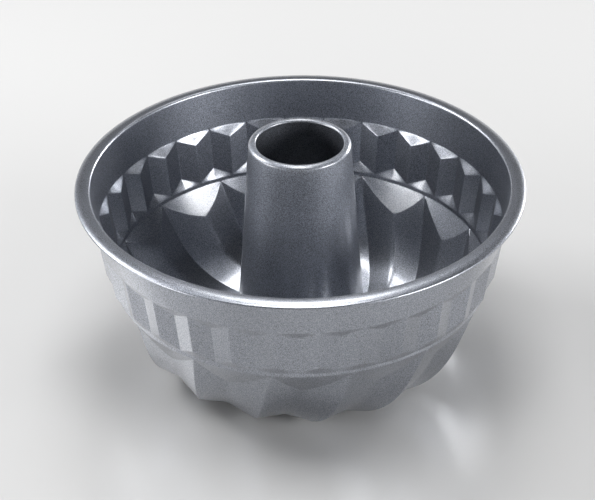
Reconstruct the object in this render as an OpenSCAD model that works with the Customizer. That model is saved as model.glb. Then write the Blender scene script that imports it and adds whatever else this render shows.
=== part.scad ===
// Fluted ring cake pan: a pressed shell of thin coated sheet with a plain band, folded V flutes
// and a swirled base, and a tapered centre tube locked to it by a hem underneath.
// Origin on the axis, at the surface that the pan stands on. +Z is up, +X to the right.

/* [Pan] */
// Diameter over the rim
rim_d = 220; // [205:1:240]
// Height of the rim above the surface that the pan stands on
pan_h = 100; // [92:1:115]
// Thickness of the coated sheet
sheet = 0.7; // [0.5:0.05:0.9]

/* [Rim] */
// Width of the flange, from the wall to its outer edge
rim_w = 7.6; // [5:0.1:10]
// How far the flange falls from its crest to its lip
rim_fall = 0.9; // [0.4:0.1:1.6]
// Radius of the lip, turned down at the flange's outer edge
rim_lip = 1; // [0.95:0.05:1.4]
// Radius of the bend between the wall and the flange
rim_bend = 1.3; // [1:0.1:2]

/* [Wall] */
// Depth of the plain band, from the rim's crest to the flutes
band_h = 21; // [16:0.5:26]
// How much the band's radius shrinks on the way down
band_taper = 2.6; // [1:0.1:4]
// Height of a flute, along its outer edge
flute_h = 22.4; // [16:0.2:26]
// How much the flutes' radius shrinks on the way down
flute_taper = 3.15; // [1:0.05:4]
// Depth of the folds between the flutes
fold_in = 3.3; // [2:0.1:4.5]
// How far each end of a fold lies below the end of the flute's edge
fold_drop = 5.2; // [3:0.1:7]
// Height of the small step under the flutes
step_h = 1.7; // [1:0.1:3]

/* [Swirl] */
// Number of swirled ribs, each under two flutes
ribs = 15; // [12:1:17]
// Angle by which a rib starts ahead of the flute's edge above it
rib_lead = 1.4; // [0:0.1:3]
// Angle that a rib turns for every 10 mm that it runs inward
rib_turn = 4.7; // [2:0.1:6]
// Width of a rib's blunt edge
rib_edge = 1.2; // [0.8:0.1:2]
// Angle of a rib from the vertical, where it starts
rib_angle = 20; // [14:1:25]
// How long a rib keeps its first direction
rib_upper_pull = 24; // [18:1:30]
// How long a rib runs in level to its foot
rib_lower_pull = 34; // [26:1:40]
// Angle from the vertical of the petals between the ribs' upper ends
petal_angle = 30.7; // [28:0.1:34]
// Depth of the valleys between the ribs at the petals' tips
valley_top = 3.1; // [2.6:0.1:3.6]
// Depth of the valleys over the base
valley_base = 4; // [2.5:0.1:5]
// Place of the valley line between two ribs, as a share of the way
valley_place = 0.53; // [0.42:0.01:0.58]
// Radius of the circle of feet under the ribs
foot_r = 46.5; // [45:0.5:52]
// Length of the flat foot under each rib
foot_l = 5; // [3:0.5:6]

/* [Tube] */
// How far the tube stands above the rim
tube_rise = 21; // [10:1:30]
// Outside diameter of the tube at its shoulder
tube_top_d = 50; // [44:0.5:54]
// Outside diameter of the tube at its foot
tube_foot_d = 66.4; // [60:0.2:70]
// Width of the lip, turned in from the shoulder
lip_w = 3.75; // [3:0.05:4.5]
// Rise of the lip from the shoulder to its crest
lip_rise = 1.8; // [1.4:0.1:2.4]
// Depth of the lip's turned-down edge
lip_turn = 1.6; // [1.2:0.1:2.4]

/* [Seam] */
// Height of the land round the tube's foot, inside the pan
land_h = 5.5; // [4.8:0.1:7]
// Width of the land, from the tube to the end of the swirl
land_w = 3.6; // [3:0.1:5]
// Depth of the shell's collar, from the land down
collar_h = 2.9; // [2.6:0.1:3.4]
// Radius of the bend from the land into the collar
collar_bend = 1; // [0.8:0.1:1.2]
// Height of the hem on the outside of the collar
hem_h = 1.3; // [0.8:0.1:1.6]
// Clearance between the tube's foot and the collar
seam_gap = 0.05; // [0.03:0.01:0.1]

/* [Hidden] */

rim_r = rim_d / 2;
wall_top_r = rim_r - rim_w;
band_r = wall_top_r - band_taper;
band_z = pan_h - band_h;
toe_r = band_r - flute_taper;
toe_z = band_z - flute_h;
ledge_r = toe_r - fold_in;
step_z = toe_z - fold_drop;
ledge_z = step_z - step_h;

// How far the rim's lip turns, from its edge to the flange
lip_span = 65;
// Steps of the flange between its lip and its crest
flange_steps = 8;
// Half the height of a corner, where a fold's ends meet the band and the step
corner = 0.6;
// How far the fluted wall reaches up and down inside the band's own thickness, and its inset there
lap = 0.6;
lap_foot = 0.15;
lap_inset = 0.1;
// Direction in which the fluted wall's sheet is thick, below the horizontal
wall_tilt = 15;

// Columns from one fold to the next, from a rib's edge to its valley line, and in a rib's pitch
fold_cols = 4;
valley_col = 4;
rib_cols = 2 * fold_cols;
cols = rib_cols * ribs;
rib_pitch = 360 / ribs;
// Rows down a rib to its foot, and from the foot up to the land
rib_rows = 11;
rise_rows = 3;
// Share of a rib over which its valley deepens, and the least share that a petal takes
valley_reach = 0.6;
petal_corner = 0.02;
// Share of the rise to the land that stays level at either end
rise_pull = 0.45;

// Bend of the tube's lip, the level ring at its crest, and how long the curve over the lip keeps
// the direction of the shoulder and of the crest
lip_bend = 1.1;
lip_level = 0.5;
shoulder_pull = 0.9;
crest_pull = 0.8;
// How far above the land the tube's taper starts
taper_start = 0.5;

tube_foot_r = tube_foot_d / 2;
tube_top_r = tube_top_d / 2;
tube_h = pan_h + tube_rise;
shoulder_z = tube_h - lip_rise;
lip_r = tube_top_r - lip_w;
collar_r = tube_foot_r + seam_gap;
collar_z = land_h - collar_h;
land_r = tube_foot_r + land_w;
fn_round = 96;

// Helpers on lists and profiles

function bezier(a, b, c, d, t) =
    pow(1 - t, 3) * a + 3 * pow(1 - t, 2) * t * b + 3 * (1 - t) * t * t * c + pow(t, 3) * d;

function unit(v) = v / norm(v);

function reversed(list) = [for (i = [len(list) - 1:-1:0]) list[i]];

// Points of an arc round c, from angle a to angle b
function arc(c, r, a, b, steps) =
    [for (i = [0:steps]) c + r * [cos(a + (b - a) * i / steps), sin(a + (b - a) * i / steps)]];

// The sheet's other side: each point of a profile moved square to it, on its right-hand side
function other_side(points, by) =
    [for (i = [0:len(points) - 1])
        let (d = unit(points[min(i + 1, len(points) - 1)] - points[max(i - 1, 0)]))
        points[i] + by * [d.y, -d.x]];

// Closed outline of a sheet that follows a profile
function sheet_outline(points) = concat(points, reversed(other_side(points, sheet)));

// Rim and band, as one revolved sheet

// Top of the flange from the lip's edge inward: it falls ever faster toward the lip
function flange_top() =
    let (
        r0 = wall_top_r + rim_bend,
        c = [rim_r - rim_lip, pan_h - rim_fall - rim_lip * sin(lip_span)],
        reach = c.x + rim_lip * cos(lip_span) - r0)
    concat(
        arc(c, rim_lip, 0, lip_span, 5),
        [for (i = [flange_steps - 1:-1:1])
            let (s = i / flange_steps) [r0 + reach * s, pan_h - rim_fall * pow(s, 3)]]);

function rim_profile() = concat(
    [[band_r, band_z]],
    arc([wall_top_r + rim_bend, pan_h - rim_bend], rim_bend, 180, 90, 6),
    reversed(flange_top()));

module rim_and_band()
    rotate_extrude($fn = fn_round) polygon(sheet_outline(rim_profile()));

// Fluted wall. A flute's columns are its fold, a middle one, its outer edge and a middle one

// Share of the way from a fold (0) to the flute's outer edge (1)
function flute_share(j) = 1 - abs(2 * (j % fold_cols) / fold_cols - 1);

// Radius on the straight line between a fold at radius a and an outer edge at radius b
function chord_r(a, b, share, span) =
    a * b * sin(span) / (b * sin(span * (1 - share)) + a * sin(span * share));

// A point is [angle, radius, height, tilt]: the tilt is the sheet's own direction there
function wall_point(j, a, b) =
    let (s = flute_share(j))
    [360 * j / cols, chord_r(a.x, b.x, s, rib_pitch / 4), a.y + (b.y - a.y) * s, wall_tilt];

function ring_point(j, r, z) = [360 * j / cols, r, z, wall_tilt];

function fluted_rows(j) = [
    wall_point(j, [band_r - fold_in, band_z - fold_drop], [band_r, band_z - corner]),
    wall_point(j, [ledge_r, step_z + corner], [toe_r, toe_z]),
    ring_point(j, ledge_r, step_z),
    ring_point(j, ledge_r, ledge_z)];

// Swirled base. A rib's profile runs from the ledge to its foot (0 to 1), over the flat foot
// (1 to 2) and up to the land (2 to 3)
function rib_profile(v) =
    let (
        top = [ledge_r, ledge_z],
        foot = [foot_r + foot_l / 2, sheet],
        heel = [foot_r - foot_l / 2, sheet],
        land = [land_r, land_h],
        reach = (heel.x - land.x) * rise_pull)
    v <= 1 ? bezier(top, top - rib_upper_pull * [sin(rib_angle), cos(rib_angle)],
                    foot + [rib_lower_pull, 0], foot, v)
    : v <= 2 ? foot + (heel - foot) * (v - 1)
    : bezier(heel, heel - [reach, 0], land + [reach, 0], land, v - 2);

// Direction from a rib's profile to the inside of the pan
function rib_inward(v) =
    let (e = 0.001, d = unit(rib_profile(min(v + e, 3)) - rib_profile(max(v - e, 0))))
    [d.y, -d.x];

function smooth(t) = t * t * (3 - 2 * t);

function valley_depth(v) =
    v <= 1 ? valley_top + (valley_base - valley_top) * min(1, v / valley_reach)
    : v <= 2 ? valley_base
    : valley_base * (1 - smooth(v - 2));

function rib_angle_at(r) = rib_turn * (ledge_r - r) / 10;

// A rib starts under a flute's outer edge, half a flute before a fold
function rib_column(j) = (j + fold_cols / 2) % rib_cols;
function rib_index(j) = floor((j + fold_cols / 2) / rib_cols);

// Half of a rib's blunt edge at radius r, as a share of the way to the next rib
function edge_share(r) = rib_edge / 2 / (r * rib_pitch * PI / 180);

// How far column k lies from the rib's edge (0) to the valley line (1). Columns 0 and 1 bound the
// rib's blunt edge
function column_share(k) =
    k == 0 ? 0
    : k <= valley_col ? (k - 1) / (valley_col - 1)
    : (rib_cols - k) / (rib_cols - valley_col);

// Place of column k between two ribs, from the middle of one (0) to that of the next (1)
function column_place(k, r) =
    let (e = edge_share(r), s = column_share(k))
    k == 0 ? -e
    : k <= valley_col ? e + (valley_place - e) * s
    : 1 - e - (1 - e - valley_place) * s;

// Angle of column k of a rib, where the rib's profile has radius r
function column_angle(rib, k, r) =
    (rib + column_place(k, r) - 0.25) * rib_pitch + rib_lead + rib_angle_at(r);

// Point of the swirl on column k of a rib, at station v of the rib's profile
function swirl_point(rib, k, v) =
    let (
        n = rib_inward(v),
        a = rib_profile(v),
        b = a + n * valley_depth(v),
        s = column_share(k),
        half = (k <= valley_col ? valley_place : 1 - valley_place) - edge_share(a.x))
    [column_angle(rib, k, a.x), chord_r(a.x, b.x, s, half * rib_pitch), a.y + (b.y - a.y) * s,
     atan2(n.y, -n.x)];

// The petals lie on a cone below the ledge, and end where the valley comes out of that cone
function petal_r(z) = ledge_r - (ledge_z - z) * tan(petal_angle);

function petal_end(k, low = 0, high = valley_reach, turns = 18) =
    turns == 0 ? max(petal_corner, low)
    : let (v = (low + high) / 2, p = swirl_point(0, k, v))
      p[1] < petal_r(p[2]) ? petal_end(k, v, high, turns - 1) : petal_end(k, low, v, turns - 1);

function swirl_rows(j) =
    let (
        k = rib_column(j),
        rib = rib_index(j),
        end = petal_end(k),
        stations = concat(
            [for (i = [0:rib_rows]) end + (1 - end) * i / rib_rows],
            [2],
            [for (i = [1:rise_rows]) 2 + i / rise_rows]))
    [for (v = stations) swirl_point(rib, k, v)];

// Land and collar round the tube's foot, turned on from the end of the swirl
function collar_rows(j) =
    let (
        a = column_angle(rib_index(j), rib_column(j), land_r),
        c = [collar_r + collar_bend, land_h - collar_bend])
    concat(
        [for (t = [90, 45, 0]) [a, c.x - collar_bend * cos(t), c.y + collar_bend * sin(t), t]],
        [[a, collar_r, collar_z, 0]]);

// Inside and outside of one column, as a closed loop from the tip inside the band
function column_loop(j) =
    let (
        a = 360 * j / cols,
        mid = band_r + sheet / 2,
        edge = band_r + lap_inset,
        rows = concat(fluted_rows(j), swirl_rows(j), collar_rows(j)))
    concat(
        [on_axis(a, mid, band_z + lap), on_axis(a, edge, band_z - lap_foot)],
        [for (p = rows) on_axis(p[0], p[1], p[2])],
        [for (p = reversed(rows))
            on_axis(p[0], p[1] + sheet * cos(p[3]), p[2] - sheet * sin(p[3]))],
        [on_axis(a, band_r + sheet - lap_inset, band_z - lap_foot)]);

// Angles run clockwise from +Y, seen from above
function on_axis(a, r, z) = [r * sin(a), r * cos(a), z];

// Closed skin over loops of points, the last joined to the first
module ring_of_loops(loops) {
    n = len(loops);
    m = len(loops[0]);
    faces = [for (j = [0:n - 1], i = [0:m - 1])
        let (
            a = j * m + i,
            b = j * m + (i + 1) % m,
            c = ((j + 1) % n) * m + (i + 1) % m,
            d = ((j + 1) % n) * m + i)
        each [[a, c, b], [a, d, c]]];
    polyhedron([for (loop = loops) each loop], faces);
}

module fluted_shell() color("#55565b") {
    rim_and_band();
    ring_of_loops([for (j = [0:cols - 1]) column_loop(j)]);
}

// Centre tube: a tapered wall with a turned-in lip and a hem round the collar

function tube_profile() =
    let (
        hem_c = [collar_r + sheet / 2, collar_z - seam_gap],
        hem_in = sheet / 2 + seam_gap,
        hem_r = hem_in + sheet,
        shoulder = [tube_top_r, shoulder_z],
        crest = [lip_r + lip_bend + lip_level, tube_h],
        over = [for (t = [0:0.2:1])
            bezier(shoulder, shoulder + [0, shoulder_pull], crest + [crest_pull, 0], crest, t)])
    concat(
        [[hem_c.x + hem_in, hem_c.y + hem_h]],
        arc(hem_c, hem_in, 0, -180, 8),
        [[tube_foot_r, land_h + taper_start]],
        over,
        arc([lip_r + lip_bend, tube_h - lip_bend], lip_bend, 90, 180, 4),
        [[lip_r, tube_h - lip_turn]]);

module centre_tube() color("#3d3e43")
    rotate_extrude($fn = fn_round) polygon(sheet_outline(reversed(tube_profile())));

fluted_shell();
centre_tube();
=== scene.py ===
import math
import bpy
import numpy as np
from mathutils import Matrix, Vector


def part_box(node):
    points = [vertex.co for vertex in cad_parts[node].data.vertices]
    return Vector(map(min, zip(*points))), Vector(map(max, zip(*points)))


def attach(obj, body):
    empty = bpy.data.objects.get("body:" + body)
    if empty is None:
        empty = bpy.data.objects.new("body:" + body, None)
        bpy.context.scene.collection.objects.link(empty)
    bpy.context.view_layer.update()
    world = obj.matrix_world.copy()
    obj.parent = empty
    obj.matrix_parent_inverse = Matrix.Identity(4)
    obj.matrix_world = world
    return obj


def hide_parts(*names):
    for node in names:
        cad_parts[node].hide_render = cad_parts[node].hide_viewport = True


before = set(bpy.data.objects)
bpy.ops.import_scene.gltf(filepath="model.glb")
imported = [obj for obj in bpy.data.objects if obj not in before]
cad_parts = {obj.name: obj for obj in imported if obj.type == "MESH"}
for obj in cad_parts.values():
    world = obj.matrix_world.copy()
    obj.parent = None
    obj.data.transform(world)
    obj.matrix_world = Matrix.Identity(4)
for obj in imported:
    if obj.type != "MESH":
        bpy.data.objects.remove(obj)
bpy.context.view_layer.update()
mm = 0.001

# The frame gives the rim's radius and the heights of both pieces, here in millimetres
shellHigh = np.array(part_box("fluted_shell")[1]) / mm
tubeHigh = np.array(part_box("centre_tube")[1]) / mm
print("frame loaded: shell", shellHigh.round(1), "tube", tubeHigh.round(1))


# Small tools for grids of points: an array is [column, row, xyz]

# Arrays or numbers side by side along a last axis
def joined(*values):
    return np.stack(np.broadcast_arrays(*values), -1)


# Round the axis: x = r sin(angle), y = r cos(angle), angles clockwise from +Y in degrees
def aroundAxis(angle, radius, height):
    turn = np.radians(angle)
    return joined(radius * np.sin(turn), radius * np.cos(turn), height)


# Cubic curve: (1-t)^3 a + 3(1-t)^2 t b + 3(1-t) t^2 c + t^3 d
def cubic(a, b, c, d, t):
    t = np.asarray(t)[..., None]
    return (1 - t) ** 3 * a + 3 * (1 - t) ** 2 * t * b + 3 * (1 - t) * t * t * c + t ** 3 * d


# Eases from 0 to 1: t^2 (3 - 2t)
def smooth(t):
    t = np.clip(t, 0, 1)
    return t * t * (3 - 2 * t)


# Normals of a closed ring of columns: the cross product of the steps to the next row and column
def gridNormals(points):
    across = np.roll(points, -1, 0) - np.roll(points, 1, 0)
    along = np.gradient(points, axis=1)
    normal = np.cross(along, across)
    return normal / np.linalg.norm(normal, axis=-1, keepdims=True)


# A sheet: the seen side, and the same points moved back by the thickness along the normals,
# joined into one closed ring of loops
def sheetLoops(seen, thickness):
    back = seen - gridNormals(seen) * thickness
    return np.concatenate([seen, back[:, ::-1]], axis=1)


# Faces of a ring of closed loops: each quad joins neighbours in both directions, wrapping round
def ringMesh(name, loops, material, node):
    columns, rows = loops.shape[:2]
    c, r = np.meshgrid(np.arange(columns), np.arange(rows), indexing="ij")
    nextC, nextR = (c + 1) % columns, (r + 1) % rows
    quads = np.stack([c * rows + r, c * rows + nextR, nextC * rows + nextR, nextC * rows + r], -1)
    quads = quads.reshape(-1, 4)
    mesh = bpy.data.meshes.new(name)
    mesh.vertices.add(columns * rows)
    mesh.vertices.foreach_set("co", (loops * mm).astype(np.float32).ravel())
    mesh.loops.add(quads.size)
    mesh.loops.foreach_set("vertex_index", quads.astype(np.int32).ravel())
    mesh.polygons.add(len(quads))
    mesh.polygons.foreach_set("loop_start", np.arange(0, quads.size, 4, dtype=np.int32))
    mesh.polygons.foreach_set("use_smooth", np.ones(len(quads), dtype=bool))
    mesh.update(calc_edges=True)
    mesh.validate()
    piece = bpy.data.objects.new(name, mesh)
    bpy.context.scene.collection.objects.link(piece)
    mesh.materials.append(material)
    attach(piece, "root")
    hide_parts(node)
    print(name, "has", len(quads) * 2, "triangles")


# Non-stick coat: dark metallic lacquer with fine flakes

coat = {
    "shellColour": (0.27, 0.288, 0.33),
    # The tube's colour is a little darker than the shell's: painted shade for the tube, which
    # stands deep inside the pan
    "tubeColourWithPaintedShade": (0.245, 0.262, 0.3),
    "metallic": 1.0,
    "shellRoughness": 0.38,
    "tubeRoughness": 0.55,
    "roughnessSpread": 0.04,
    "roughnessRange": (0.3, 0.7),
    "flakeSize": 0.4 * mm,
    "flakeDetail": 2.0,
    "flakeRange": (0.35, 0.65),
    "flakeShade": 0.5,
    "flakeBump": 0.012 * mm,
    "cloudSize": 40 * mm,
    "cloudDetail": 3.0,
    "cloudRange": (0.3, 0.7),
    "cloudShade": 0.05,
    "clearCoat": 1.0,
    "clearCoatRoughness": 0.22,
    "clearCoatIor": 1.9,
}


# Noise of a given size on the piece's own coordinates
def noise(tree, coords, size, detail):
    node = tree.nodes.new("ShaderNodeTexNoise")
    node.inputs["Scale"].default_value = 1 / size
    node.inputs["Detail"].default_value = detail
    tree.links.new(coords.outputs["Object"], node.inputs["Vector"])
    return node.outputs["Fac"]


# Maps a value from one range onto another
def remap(tree, value, fromRange, toLow, toHigh):
    node = tree.nodes.new("ShaderNodeMapRange")
    node.inputs["From Min"].default_value, node.inputs["From Max"].default_value = fromRange
    node.inputs["To Min"].default_value = toLow
    node.inputs["To Max"].default_value = toHigh
    tree.links.new(value, node.inputs["Value"])
    return node.outputs["Result"]


# One step of arithmetic on two values, such as MULTIPLY or MAXIMUM
def combine(tree, operation, a, b):
    node = tree.nodes.new("ShaderNodeMath")
    node.operation = operation
    tree.links.new(a, node.inputs[0])
    tree.links.new(b, node.inputs[1])
    return node.outputs[0]


# Fine noise for the flakes shades the colour, spreads the roughness and raises the surface, and
# broad noise clouds the colour
def coatMaterial(name, colour, roughness):
    material = bpy.data.materials.new(name)
    material.use_nodes = True
    tree = material.node_tree
    shader = tree.nodes["Principled BSDF"]
    coords = tree.nodes.new("ShaderNodeTexCoord")
    flakes = noise(tree, coords, coat["flakeSize"], coat["flakeDetail"])
    clouds = noise(tree, coords, coat["cloudSize"], coat["cloudDetail"])

    fine, broad = coat["flakeShade"], coat["cloudShade"]
    flakeShade = remap(tree, flakes, coat["flakeRange"], 1 - fine, 1 + fine)
    cloudShade = remap(tree, clouds, coat["cloudRange"], 1 - broad, 1 + broad)
    shade = combine(tree, "MULTIPLY", flakeShade, cloudShade)
    tint = tree.nodes.new("ShaderNodeVectorMath")
    tint.operation = "SCALE"
    tint.inputs[0].default_value = colour
    tree.links.new(shade, tint.inputs["Scale"])
    tree.links.new(tint.outputs[0], shader.inputs["Base Color"])

    spread = coat["roughnessSpread"]
    rough = remap(tree, flakes, coat["roughnessRange"], roughness - spread, roughness + spread)
    tree.links.new(rough, shader.inputs["Roughness"])
    shader.inputs["Metallic"].default_value = coat["metallic"]
    shader.inputs["Coat Weight"].default_value = coat["clearCoat"]
    shader.inputs["Coat Roughness"].default_value = coat["clearCoatRoughness"]
    shader.inputs["Coat IOR"].default_value = coat["clearCoatIor"]

    bump = tree.nodes.new("ShaderNodeBump")
    bump.inputs["Distance"].default_value = coat["flakeBump"]
    bump.inputs["Strength"].default_value = 1.0
    tree.links.new(flakes, bump.inputs["Height"])
    tree.links.new(bump.outputs["Normal"], shader.inputs["Normal"])
    return material


shellCoat = coatMaterial("shellCoat", coat["shellColour"], coat["shellRoughness"])
# The tube's coat is the shell's coat with the darker colour of painted shade
tubeCoat = coatMaterial("tubeCoat", coat["tubeColourWithPaintedShade"], coat["tubeRoughness"])
print("coats ready")


# The fluted shell, in millimetres and degrees

shell = {
    "sheet": 0.7,
    "ribs": 15,
    "rimWidth": 7.6,
    "rimFall": 0.9,
    "rimBend": 1.3,
    "lipRadius": 1.0,
    "lipSpan": 65.0,
    "bandHeight": 21.0,
    "bandTaper": 2.6,
    "fluteHeight": 22.4,
    "fluteTaper": 3.15,
    "foldDepth": 3.3,
    "foldDrop": 5.2,
    "foldRound": 0.03,
    "triangleCorner": 1.1,
    "stepHeight": 1.7,
    "cornerRadius": 0.9,
    "cornerShare": 0.42,
    "ribOffset": -0.25,  # first rib, in pitches from the back
    "ribLead": 1.4,
    "ribTurn": 0.47,  # swirl in degrees for each millimetre of radius
    "ribRound": 0.03,
    "ribAngle": 20.0,
    "ribUpperPull": 24.0,
    "ribLowerPull": 34.0,
    "ribHeelPull": 0.45,
    "petalAngle": 30.7,
    "petalCorner": 0.02,
    "petalReach": 0.6,  # lowest station that a petal may end at
    "petalHalvings": 30,
    "valleyTop": 3.1,
    "valleyBase": 4.0,
    "valleyPlace": 0.53,  # between one rib (0) and the next (1)
    "valleyDeepest": 0.6,  # station
    "valleyRound": (0.02, 0.11),  # at the top and further down
    "valleySoftens": (0.2, 0.45),  # stations
    "footRadius": 46.5,
    "footLength": 5.0,
    "landHeight": 5.5,
    "landWidth": 3.6,
    "collarHeight": 2.9,
    "collarBend": 1.0,
    "seamGap": 0.05,
    "tubeFootRadius": 33.2,
}

# Rows of the shell's mesh along each stretch of its profile. The bowl's rows start a little below
# the petal's end, and a crowding above 1 draws them up toward it
shellRows = {
    "lip": 6,
    "flange": 6,
    "rimBend": 6,
    "wall": 3,
    "slant": 1,
    "corner": 4,
    "bowl": 28,
    "bowlStart": 0.02,
    "bowlCrowding": 1.08,
    "foot": 2,
    "heel": 7,
    "collarBend": 5,
}

rimRadius = shellHigh[0]
panHeight = shellHigh[2]
wallTopRadius = rimRadius - shell["rimWidth"]
bandRadius = wallTopRadius - shell["bandTaper"]
bandLow = panHeight - shell["bandHeight"]
toeRadius = bandRadius - shell["fluteTaper"]
toeHeight = bandLow - shell["fluteHeight"]
ledgeRadius = toeRadius - shell["foldDepth"]
stepHeight = toeHeight - shell["foldDrop"]
ledgeHeight = stepHeight - shell["stepHeight"]
landRadius = shell["tubeFootRadius"] + shell["landWidth"]
ribPitch = 360 / shell["ribs"]

# Columns of one rib, 32 in all: close together at each fold, each flute's edge, each rib and
# each valley. A share runs from a fold (0) to the flute's outer edge (1)
halfFlute = np.array([0, 0.015, 0.03, 0.07, 0.5, 0.93, 0.97, 0.985])
edgeToFold = 1 - halfFlute
fluteShare = np.tile(np.concatenate([edgeToFold, halfFlute]), 2 * shell["ribs"])
fluteTurn = np.concatenate([halfFlute, 1 + halfFlute]) / 2
fluteAngle = (np.arange(2 * shell["ribs"])[:, None] + fluteTurn - 0.5).ravel() * ribPitch / 2

# Places of the same columns between one rib (0) and the next (1)
valleyStep = np.array([-0.07, -0.035, -0.012, 0, 0.012, 0.035, 0.07])
ribPlaces = np.concatenate([
    [0, 0.006, 0.015, 0.04], np.linspace(0.09, 0.43, 9), shell["valleyPlace"] + valleyStep,
    np.linspace(0.65, 0.93, 7), [0.96, 0.974, 0.985, 0.994, 0.998]])
swirlPlace = np.tile(ribPlaces, shell["ribs"])
ribNumber = np.repeat(np.arange(shell["ribs"]), len(ribPlaces))
swirlStart = (ribNumber + shell["ribOffset"]) * ribPitch + shell["ribLead"]


# Rounded ramp: straight from 0 to 1, but its ends are parabolas over the shares a and b
def roundedRamp(share, a, b):
    low = share * share / (2 * a) + a / 2
    high = 1 - (1 - share) ** 2 / (2 * b) - b / 2
    return np.where(share < a, low, np.where(share > 1 - b, high, share))


# Radius along a straight chord between radius a (share 0) and radius b (share 1), a span apart:
# a b sin(span) / (b sin(span (1 - share)) + a sin(span share)), with its ends rounded
def chordRadius(a, b, share, span, roundA, roundB):
    whole = np.radians(span)
    straight = a * b * np.sin(whole) / (b * np.sin(whole * (1 - share)) + a * np.sin(whole * share))
    return straight + (roundedRamp(share, roundA, roundB) - share) * (b - a)


# Profile of a rib: a cubic from the ledge to its foot (stations 0 to 1), the level foot
# (1 to 2), and a cubic up to the land (2 to 3)
def ribProfile(station):
    slope = math.radians(shell["ribAngle"])
    top = np.array([ledgeRadius, ledgeHeight])
    foot = np.array([shell["footRadius"] + shell["footLength"] / 2, shell["sheet"]])
    heel = np.array([shell["footRadius"] - shell["footLength"] / 2, shell["sheet"]])
    land = np.array([landRadius, shell["landHeight"]])
    level = np.array([(heel[0] - land[0]) * shell["ribHeelPull"], 0])
    upper = top - shell["ribUpperPull"] * np.array([math.sin(slope), math.cos(slope)])
    bowl = cubic(top, upper, foot + [shell["ribLowerPull"], 0], foot, np.clip(station, 0, 1))
    flat = foot + (heel - foot) * np.clip(station - 1, 0, 1)[..., None]
    rise = cubic(heel, heel - level, land + level, land, np.clip(station - 2, 0, 1))
    s = station[..., None]
    return np.where(s <= 1, bowl, np.where(s <= 2, flat, rise))


# Square to the rib's profile, toward the inside of the pan
def ribInward(station):
    small = 0.001
    step = ribProfile(np.minimum(station + small, 3)) - ribProfile(np.maximum(station - small, 0))
    step /= np.linalg.norm(step, axis=-1, keepdims=True)
    return joined(step[..., 1], -step[..., 0])


# Swirl at a place between two ribs and a station down them: the chord from the rib's profile
# to the valley, which lies a depth further in, both turned with the radius
def swirl(start, place, station):
    place, station = np.broadcast_arrays(place, station)
    rib = ribProfile(station)
    deepening = np.clip(station / shell["valleyDeepest"], 0, 1)
    depth = shell["valleyTop"] + (shell["valleyBase"] - shell["valleyTop"]) * deepening
    valley = rib + ribInward(station) * (depth * (1 - smooth(station - 2)))[..., None]
    before = place < shell["valleyPlace"]
    share = np.where(before, place / shell["valleyPlace"], (1 - place) / (1 - shell["valleyPlace"]))
    span = ribPitch * np.where(before, shell["valleyPlace"], 1 - shell["valleyPlace"])
    sharp, soft = shell["valleyRound"]
    softStart, softEnd = shell["valleySoftens"]
    valleyRound = sharp + (soft - sharp) * smooth((station - softStart) / (softEnd - softStart))
    radius = chordRadius(rib[..., 0], valley[..., 0], share, span, shell["ribRound"], valleyRound)
    ramp = roundedRamp(share, shell["ribRound"], valleyRound)
    height = rib[..., 1] + (valley[..., 1] - rib[..., 1]) * ramp
    angle = start + place * ribPitch + shell["ribTurn"] * (ledgeRadius - rib[..., 0])
    return joined(angle, radius, height)


# Station at which a column leaves the petal: halving the range until the swirl comes out of the
# petals' cone
def petalEnds(place):
    low, high = np.zeros_like(place), np.full_like(place, shell["petalReach"])
    slope = math.tan(math.radians(shell["petalAngle"]))
    for halving in range(shell["petalHalvings"]):
        middle = (low + high) / 2
        point = swirl(0, place, middle)
        inside = point[..., 1] < ledgeRadius - (ledgeHeight - point[..., 2]) * slope
        low, high = np.where(inside, middle, low), np.where(inside, high, middle)
    return np.maximum((low + high) / 2, shell["petalCorner"])


# Rows round a corner: a quadratic curve that leaves one leg and joins the other half a radius off,
# or a given share of the leg where that is shorter
def roundedCorner(before, corner, after):
    legs = []
    for other in (before, after):
        leg = other - corner
        length = np.hypot(leg[..., 1], leg[..., 2])[..., None]
        legs.append(leg * np.minimum(shell["cornerRadius"] * 0.5 / length, shell["cornerShare"]))
    t = np.linspace(0, 1, shellRows["corner"] + 1)[None, :, None]
    start, end = (corner + legs[0])[:, None], (corner + legs[1])[:, None]
    return (1 - t) ** 2 * start + 2 * (1 - t) * t * corner[:, None] + t * t * end


# Rows evenly spaced on the straight line between two points of each column, without the ends
def between(a, b, count):
    t = (np.arange(1, count + 1) / (count + 1))[None, :, None]
    return a[:, None] + (b - a)[:, None] * t


# The same profile of radius and height at every column's angle
def revolved(profile):
    return joined(fluteAngle[:, None], profile[:, 0], profile[:, 1])


# Points of an arc round a centre, between two angles in degrees
def arcRows(centre, radius, start, end, steps):
    turn = np.radians(np.linspace(start, end, steps + 1))
    return joined(centre[0] + radius * np.cos(turn), centre[1] + radius * np.sin(turn))


# Rim from the lip inward: the lip's round edge, a flange that falls as the cube of the way out,
# and the bend into the wall
def rimRows():
    bend, lip, span = shell["rimBend"], shell["lipRadius"], math.radians(shell["lipSpan"])
    crest = wallTopRadius + bend
    lipCentre = (rimRadius - lip, panHeight - shell["rimFall"] - lip * math.sin(span))
    lipArc = arcRows(lipCentre, lip, 0, shell["lipSpan"], shellRows["lip"])
    out = np.linspace(1, 0, shellRows["flange"] + 1)[1:]
    flange = joined(crest + (lipArc[-1, 0] - crest) * out, panHeight - shell["rimFall"] * out ** 3)
    bendArc = arcRows((crest, panHeight - bend), bend, 90, 180, shellRows["rimBend"])
    return np.vstack([lipArc, flange, bendArc[1:]])


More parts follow.
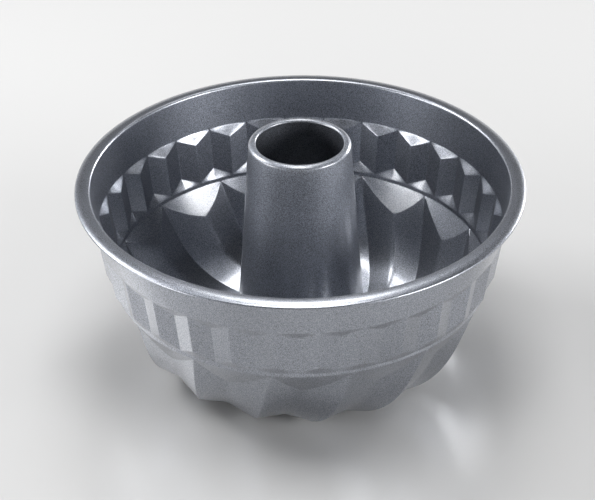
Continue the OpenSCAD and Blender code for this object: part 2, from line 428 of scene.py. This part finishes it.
# Zigzag down the flutes: at each column the corner points of the profile, where the height falls
# from the flute's edge to the fold by the rounded share of the way
def fluteCorners():
    halfPitch = ribPitch / 4
    edgeRound = shell["foldRound"]
    edgeWay = roundedRamp(fluteShare, edgeRound, edgeRound)
    foldFall = (1 - edgeWay) * (shell["foldDrop"] - shell["triangleCorner"])
    foldRadius = chordRadius(bandRadius - shell["foldDepth"], bandRadius, fluteShare, halfPitch,
                             edgeRound, edgeRound)
    toeChord = chordRadius(ledgeRadius, toeRadius, fluteShare, halfPitch, edgeRound, edgeRound)
    wallTop = joined(fluteAngle, wallTopRadius, panHeight - shell["rimBend"])
    bandFoot = joined(fluteAngle, bandRadius, bandLow)
    foldTop = joined(fluteAngle, foldRadius, bandLow - shell["triangleCorner"] - foldFall)
    foldToe = joined(fluteAngle, toeChord, toeHeight - foldFall)
    stepTop = joined(fluteAngle, ledgeRadius, stepHeight)
    return wallTop, bandFoot, foldTop, foldToe, stepTop


# Stations of the rows below a petal's end: down the bowl, a little closer together at its top,
# then along the level foot and up the heel
def bowlStations(ends):
    down = np.linspace(shellRows["bowlStart"], 1, shellRows["bowl"]) ** shellRows["bowlCrowding"]
    foot = 1 + np.arange(1, shellRows["foot"] + 1) / shellRows["foot"]
    heel = 2 + np.arange(1, shellRows["heel"] + 1) / shellRows["heel"]
    late = np.broadcast_to(np.concatenate([foot, heel]), (len(ends), len(foot) + len(heel)))
    return np.hstack([ends[:, None] + (1 - ends[:, None]) * down, late])


# The land's edge bends a quarter circle down into a straight collar
def collarRows(angles):
    bend = shell["collarBend"]
    collarRadius = shell["tubeFootRadius"] + shell["seamGap"]
    centre = (collarRadius + bend, shell["landHeight"] - bend)
    collarEnd = [[collarRadius, shell["landHeight"] - shell["collarHeight"]]]
    profile = np.vstack([arcRows(centre, bend, 90, 180, shellRows["collarBend"]), collarEnd])
    return joined(angles[:, None], profile[:, 0], profile[:, 1])


# All columns from the lip to the collar: the turned rim, the flutes' zigzag with rounded corners,
# the petals, the swirl and the collar
def shellSurface():
    wallTop, bandFoot, foldTop, foldToe, stepTop = fluteCorners()
    ends = petalEnds(swirlPlace)
    ledge = joined(swirlStart + swirlPlace * ribPitch, ledgeRadius, ledgeHeight)
    tip = swirl(swirlStart, swirlPlace, ends)
    base = swirl(swirlStart[:, None], swirlPlace[:, None], bowlStations(ends))
    wall, slant = shellRows["wall"], shellRows["slant"]
    rows = np.concatenate([
        revolved(rimRows()),
        between(wallTop, bandFoot, wall),
        roundedCorner(wallTop, bandFoot, foldTop),
        between(bandFoot, foldTop, slant),
        roundedCorner(bandFoot, foldTop, foldToe),
        between(foldTop, foldToe, wall),
        roundedCorner(foldTop, foldToe, stepTop),
        between(foldToe, stepTop, slant),
        roundedCorner(foldToe, stepTop, ledge),
        roundedCorner(stepTop, ledge, tip),
        between(ledge, tip, wall),
        roundedCorner(ledge, tip, base[:, 1]),
        base[:, 1:],
        collarRows(base[:, -1, 0])], axis=1)
    return aroundAxis(rows[..., 0], rows[..., 1], rows[..., 2])


ringMesh("pressedShell", sheetLoops(shellSurface(), shell["sheet"]), shellCoat,
         "fluted_shell")


# The centre tube, in millimetres

tube = {
    "sheet": 0.7,
    "columns": 240,
    "shoulderRadius": 25.0,
    "lipWidth": 3.75,
    "lipRise": 1.8,
    "lipBend": 1.1,
    "lipTurn": 1.6,
    "crestWidth": 0.5,
    "crestPull": 0.8,
    "shoulderPull": 0.9,
    "seamRise": 0.5,
    "hemHeight": 1.3,
    "cutWander": 0.11,
    "cutWaves": ((7, 1.0, 1.0), (17, 0.6, 0.0), (31, 0.5, 2.0)),  # waves round, share, start
    "lipRows": 6,
    "overRows": 8,
    "taperRows": 24,
    "hemRows": 8,
}


# Profile from the hem's end round its bend, up the taper and over the lip to its cut edge
def tubeProfile():
    top = tubeHigh[2]
    foot = shell["tubeFootRadius"]
    gap = shell["seamGap"]
    bend = tube["lipBend"]
    lipRadius = tube["shoulderRadius"] - tube["lipWidth"]
    shoulder = np.array([tube["shoulderRadius"], top - tube["lipRise"]])
    crest = np.array([lipRadius + bend + tube["crestWidth"], top])
    landTop = np.array([foot, shell["landHeight"] + tube["seamRise"]])
    cut = [[lipRadius, top - tube["lipTurn"]]]
    lip = arcRows((lipRadius + bend, top - bend), bend, 180, 90, tube["lipRows"])
    over = cubic(crest, crest + [tube["crestPull"], 0], shoulder + [0, tube["shoulderPull"]],
                 shoulder, np.linspace(0, 1, tube["overRows"] + 1))
    down = np.linspace(0, 1, tube["taperRows"] + 1)[1:, None]
    taper = shoulder + (landTop - shoulder) * down
    hemRadius = tube["sheet"] / 2 + gap
    hemCentre = (foot + hemRadius, shell["landHeight"] - shell["collarHeight"] - gap)
    hem = arcRows(hemCentre, hemRadius, 180, 360, tube["hemRows"])
    hemEnd = hem[-1:] + [0, tube["hemHeight"]]
    return np.vstack([cut, lip, over, taper, hem, hemEnd])[::-1]


# The profile turned round the axis. The cut edge wanders up and down by a sum of sines
def tubeSurface():
    profile = tubeProfile()
    angle = np.arange(tube["columns"]) * 360 / tube["columns"]
    points = np.broadcast_to(profile, (tube["columns"],) + profile.shape).copy()
    turn = np.radians(angle)
    wander = sum(share * np.sin(waves * turn + start) for waves, share, start in tube["cutWaves"])
    points[:, -1, 1] += wander * tube["cutWander"]
    return aroundAxis(angle[:, None], points[..., 0], points[..., 1])


ringMesh("taperedTube", sheetLoops(tubeSurface(), tube["sheet"]), tubeCoat,
         "centre_tube")


# Floor, light and camera

studio = {
    "floorColour": 0.57,
    "floorRoughness": 0.28,
    "floorIor": 1.8,
    "glossFade": (0.14, 0.55),
    "colourFade": (0.22, 0.75),
    "farColour": 0.02,
    "farGlow": 0.72,
    "middleRadius": 0.5,
    "flatRadius": 2.6,
    "coveRadius": 0.6,
    "coveSteps": 12,
    "wallHeight": 1.0,
    "floorSides": 96,
    "lampAim": (0, 0, 0.06),
    "lamps": {
        # name: place, width, height, radiance
        "leftSoftbox": ((-0.89, 0.34, 0.83), 0.55, 0.6, 10.6),
        "leftLowSoftbox": ((-1.8, -0.73, 0.54), 1.0, 0.58, 8.8),
        "rightSoftbox": ((1.7, -0.9, 0.58), 1.0, 0.67, 13.8),
        "backRightSoftbox": ((1.37, 1.37, 0.54), 0.75, 0.67, 15.5),
        "overheadSoftbox": ((0, -0.09, 1.26), 0.5, 0.5, 8.8),
        "backSoftbox": ((0, 0.56, 1.12), 0.4, 0.4, 8.0),
    },
}

photoCamera = {
    "place": (-1.63 * mm, -849.75 * mm, 608.3 * mm),
    "pitch": 32.89,
    "roll": -0.59,
    "panTurn": 1.47,
    "lens": 122.68,
    "sensor": 36,
}


# Pale floor, a little glossy near the pan. Away from the pan the gloss spreads out, and the lit
# colour fades into a glow that only the camera and the reflections see, so that the background
# stays pale from every side
def floorMaterial():
    material = bpy.data.materials.new("paleFloor")
    material.use_nodes = True
    tree = material.node_tree
    shader = tree.nodes["Principled BSDF"]
    shader.inputs["IOR"].default_value = studio["floorIor"]
    coords = tree.nodes.new("ShaderNodeTexCoord")
    length = tree.nodes.new("ShaderNodeVectorMath")
    length.operation = "LENGTH"
    tree.links.new(coords.outputs["Object"], length.inputs[0])
    away = length.outputs["Value"]
    fade = studio["colourFade"]
    colour = remap(tree, away, fade, studio["floorColour"], studio["farColour"])
    tree.links.new(colour, shader.inputs["Base Color"])
    rough = remap(tree, away, studio["glossFade"], studio["floorRoughness"], 1)
    tree.links.new(rough, shader.inputs["Roughness"])
    glow = remap(tree, away, fade, 0, studio["farGlow"])
    path = tree.nodes.new("ShaderNodeLightPath")
    seen = path.outputs["Is Camera Ray"]
    for ray in ("Is Glossy Ray", "Is Transmission Ray"):
        seen = combine(tree, "MAXIMUM", seen, path.outputs[ray])
    shader.inputs["Emission Color"].default_value = (1, 1, 1, 1)
    strength = combine(tree, "MULTIPLY", glow, seen)
    tree.links.new(strength, shader.inputs["Emission Strength"])
    return material


# Flat round floor that bends up into a low wall: a profile turned round the axis
def makeFloor():
    flat, cove = studio["flatRadius"], studio["coveRadius"]
    bend = arcRows((flat, cove), cove, -90, 0, studio["coveSteps"])
    middle = [[studio["middleRadius"], 0]]
    wallTop = [[flat + cove, studio["wallHeight"]]]
    profile = np.vstack([middle, bend, wallTop])
    angle = np.arange(studio["floorSides"]) * 360 / studio["floorSides"]
    points = aroundAxis(angle[:, None], profile[:, 0], profile[:, 1])
    columns, rows = points.shape[:2]
    c, r = np.meshgrid(np.arange(columns), np.arange(rows - 1), indexing="ij")
    nextC = (c + 1) % columns
    faces = np.stack([c * rows + r, nextC * rows + r, nextC * rows + r + 1, c * rows + r + 1], -1)
    mesh = bpy.data.meshes.new("floor")
    centreFace = (np.arange(columns)[::-1] * rows).tolist()
    mesh.from_pydata(points.reshape(-1, 3), [], faces.reshape(-1, 4).tolist() + [centreFace])
    mesh.polygons.foreach_set("use_smooth", np.ones(len(mesh.polygons), dtype=bool))
    mesh.materials.append(floorMaterial())
    floor = bpy.data.objects.new("floor", mesh)
    bpy.context.scene.collection.objects.link(floor)


# A softbox that looks as bright as a surface of the given radiance: watts = radiance x pi x area
def makeLamp(name, place, width, height, radiance):
    data = bpy.data.lights.new(name, "AREA")
    data.shape = "RECTANGLE"
    data.size, data.size_y = width, height
    data.energy = radiance * math.pi * width * height
    lamp = bpy.data.objects.new(name, data)
    lamp.location = place
    toward = Vector(studio["lampAim"]) - Vector(place)
    lamp.rotation_euler = toward.to_track_quat("-Z", "Y").to_euler()
    bpy.context.scene.collection.objects.link(lamp)


# The camera turns about the pan's axis by the small turn that the pan has in the photograph
def makeCamera():
    data = bpy.data.cameras.new("photoCamera")
    data.sensor_width = photoCamera["sensor"]
    data.lens = photoCamera["lens"]
    camera = bpy.data.objects.new("photoCamera", data)
    bpy.context.scene.collection.objects.link(camera)
    turn = Matrix.Rotation(math.radians(photoCamera["panTurn"]), 4, "Z")
    tilt = Matrix.Rotation(math.radians(90 - photoCamera["pitch"]), 4, "X")
    roll = Matrix.Rotation(math.radians(photoCamera["roll"]), 4, "Z")
    camera.matrix_world = turn @ Matrix.Translation(photoCamera["place"]) @ tilt @ roll
    bpy.context.scene.camera = camera


world = bpy.data.worlds.new("darkStudio")
world.color = (0, 0, 0)
bpy.context.scene.world = world
makeFloor()
for lampName, lampValues in studio["lamps"].items():
    makeLamp(lampName, *lampValues)
makeCamera()
bpy.context.scene.view_settings.view_transform = "Standard"
print("studio ready")
